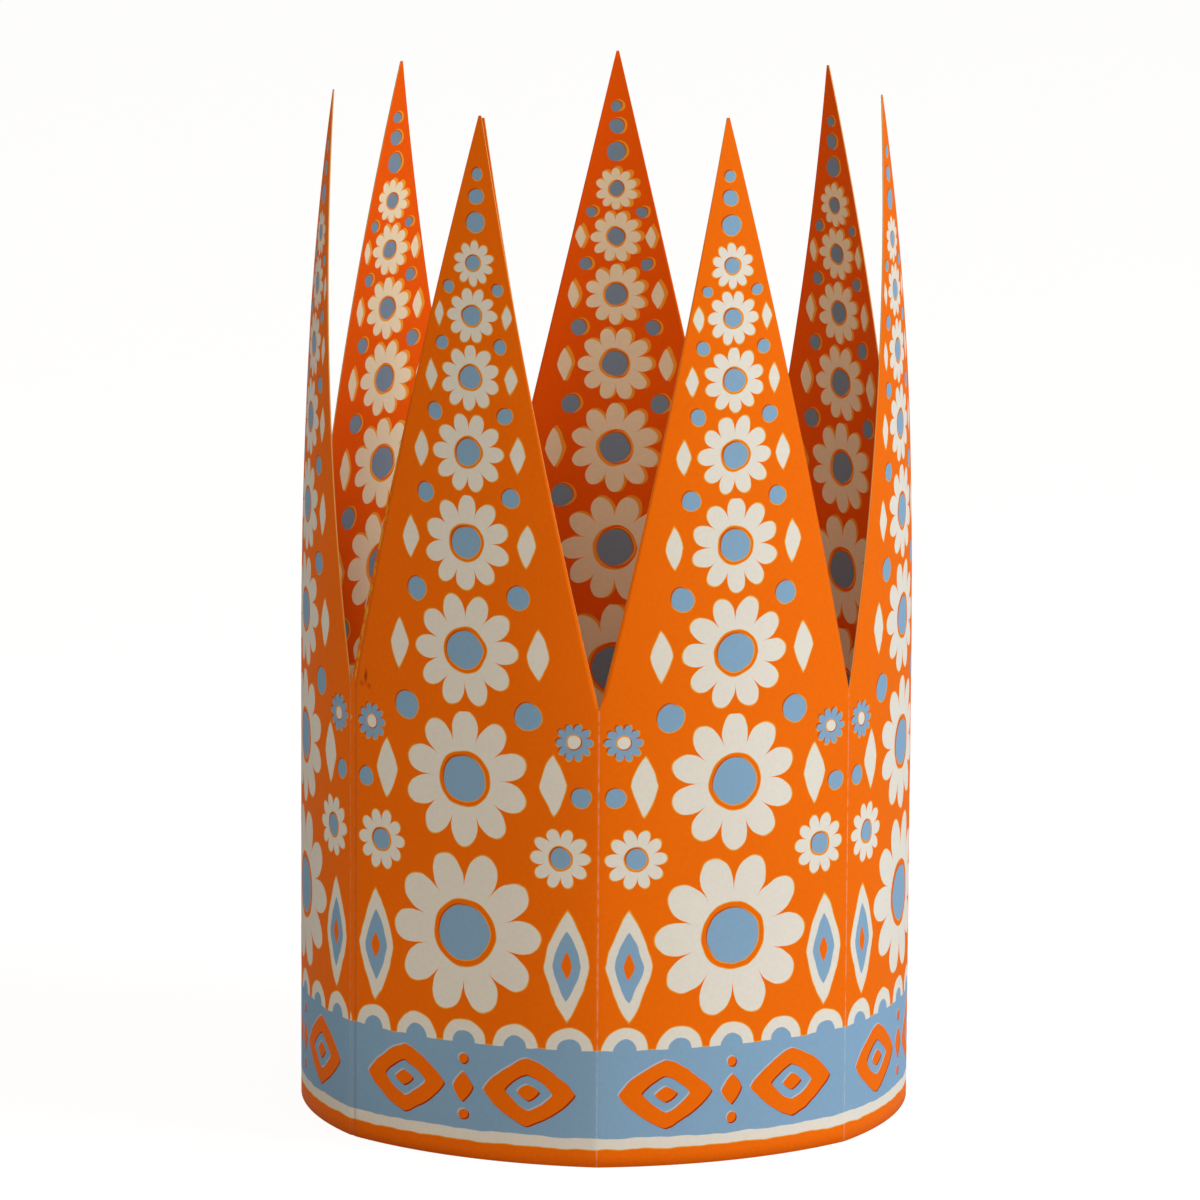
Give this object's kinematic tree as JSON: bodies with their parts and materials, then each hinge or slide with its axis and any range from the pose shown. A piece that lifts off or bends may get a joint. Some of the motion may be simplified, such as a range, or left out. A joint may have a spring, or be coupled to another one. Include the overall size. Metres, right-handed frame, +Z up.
{
  "type": "paper crown",
  "caption": "Tall paper crown: a folded strip of printed card closed into a ring, with a pointed spike on every panel.",
  "frame": {"origin": "middle of the ring at its lower edge, on the surface that it stands on", "axes": "+Z up towards the spikes' tips, front at -Y with a fold straight at the front"},
  "size_m": [0.1791, 0.1799, 0.3],
  "materials": {
    "printed_card": "matte card, printed on both faces"
  },
  "bodies": {
    "root": {"crown_strip": "printed_card"}
  },
  "joints": []
}
